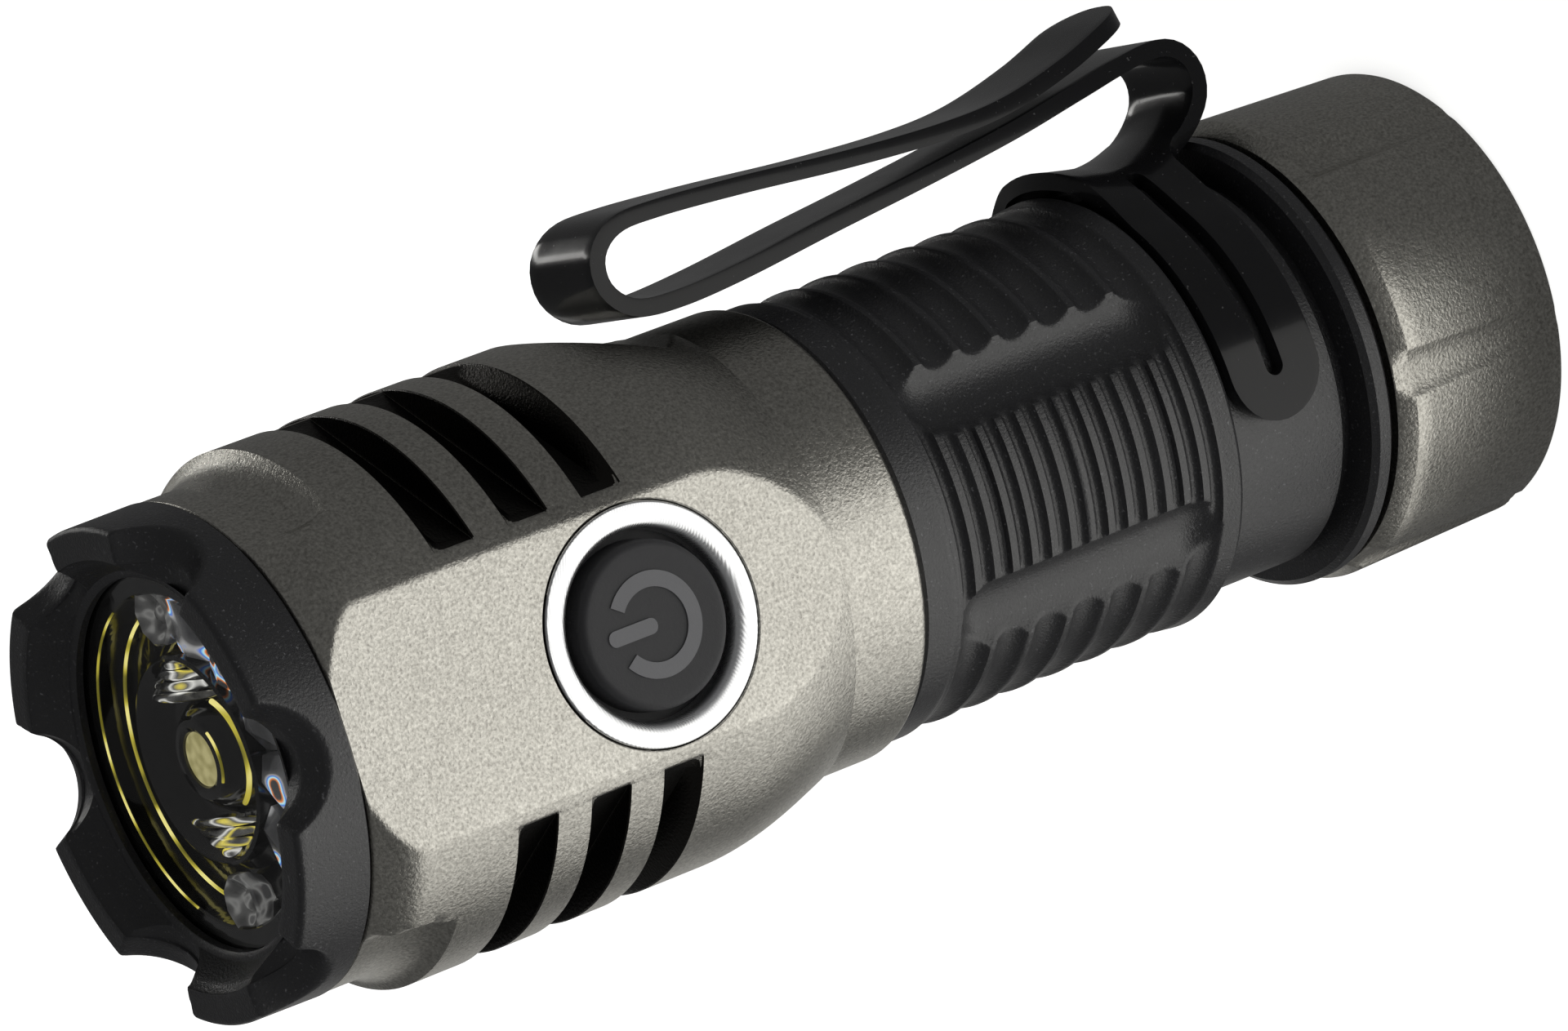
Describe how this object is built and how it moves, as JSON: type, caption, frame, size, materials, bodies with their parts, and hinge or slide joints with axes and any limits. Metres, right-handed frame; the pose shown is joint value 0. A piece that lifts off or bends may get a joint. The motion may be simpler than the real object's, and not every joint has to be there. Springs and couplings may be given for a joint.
{
  "type": "keychain flashlight",
  "caption": "Small round pocket flashlight with a side switch, notched bezel, finned head, ringed battery tube, magnetic tail cap and two-way spring clip.",
  "frame": {"origin": "centre of the flat tail face that the light stands on", "axes": "+Z along the axis towards the beam, -Y square out of the switch flat, +X towards the pocket clip"},
  "size_m": [0.0316, 0.025, 0.0746],
  "materials": {
    "bead_blasted_titanium_grey": "bead-blasted, anodised warm grey",
    "black_anodised": "fine satin, anodised black",
    "clip_steel": "glossy black coated spring steel",
    "bright_ring": "bright satin",
    "button_rubber": "matt",
    "symbol_print": "satin print",
    "seal_rubber": "satin",
    "clear_glass": "polished",
    "clear_acrylic": "polished",
    "black_plastic": "gloss",
    "led_board_mask": "black solder mask",
    "led_ceramic": "ceramic",
    "led_phosphor": "silicone over phosphor",
    "steel": "plain",
    "nickel": "nickel plate",
    "gold_contact": "gold plate",
    "circuit_board": "solder mask",
    "cell_sleeve": "shrink sleeve",
    "white_insulator": "fibre paper",
    "wire_insulation": "silicone",
    "ferrite": "ferrite",
    "flex_ribbon": "polyimide"
  },
  "bodies": {
    "cap": {"tail_cap": "bead_blasted_titanium_grey", "tail_magnet": "nickel", "tail_contact_board": "circuit_board", "tail_spring": "gold_contact"},
    "cell": {"cell_can": "nickel", "cell_wrap": "cell_sleeve", "cell_insulator": "white_insulator", "cell_positive": "nickel"},
    "barrel": {"battery_tube": "black_anodised", "tail_o_ring": "seal_rubber", "head_o_ring": "seal_rubber", "head_shell": "bead_blasted_titanium_grey", "bezel": "black_anodised", "window_gasket": "seal_rubber", "lens_window": "clear_glass", "optic": "clear_acrylic", "optic_holder": "black_plastic", "led_board": "led_board_mask", "main_led": "led_ceramic", "main_led_dome": "led_phosphor", "aux_leds": "led_phosphor", "led_board_screws": "steel", "led_wires": "wire_insulation", "driver_board": "circuit_board", "driver_inductor": "ferrite", "driver_chips": "black_plastic", "front_spring": "gold_contact", "switch_board": "circuit_board", "switch_ribbon": "flex_ribbon", "switch_body": "steel", "switch_ring": "bright_ring"},
    "button": {"button": "button_rubber", "button_symbol": "symbol_print"},
    "plunger": {"switch_plunger": "black_plastic"},
    "clip": {"pocket_clip": "clip_steel"}
  },
  "joints": [
    {"name": "cell_lift", "type": "slide", "parent": "cap", "child": "cell", "axis": [0, 0, 1], "range_m": [0, 0.0035], "deforming": ["tail_spring"]},
    {"name": "barrel_turn", "type": "hinge", "parent": "cell", "child": "barrel", "pos_m": [0, 0, 0], "axis": [0, 0, 1], "range_deg": [0, 1260]},
    {"name": "button_press", "type": "slide", "parent": "barrel", "child": "button", "axis": [0, 1, 0], "range_m": [0, 0.0005], "stiffness_N_per_m": 3000},
    {"name": "plunger_press", "type": "slide", "parent": "barrel", "child": "plunger", "axis": [0, 1, 0], "range_m": [0, 0.0005]},
    {"name": "clip_swivel", "type": "hinge", "parent": "barrel", "child": "clip", "pos_m": [0, 0, 0], "axis": [0, 0, 1], "continuous": true}
  ],
  "couplings": [
    {"joint": "barrel_turn", "follows": "cell_lift", "rad_per_m": 6283.2},
    {"joint": "plunger_press", "follows": "button_press", "ratio": 1}
  ]
}
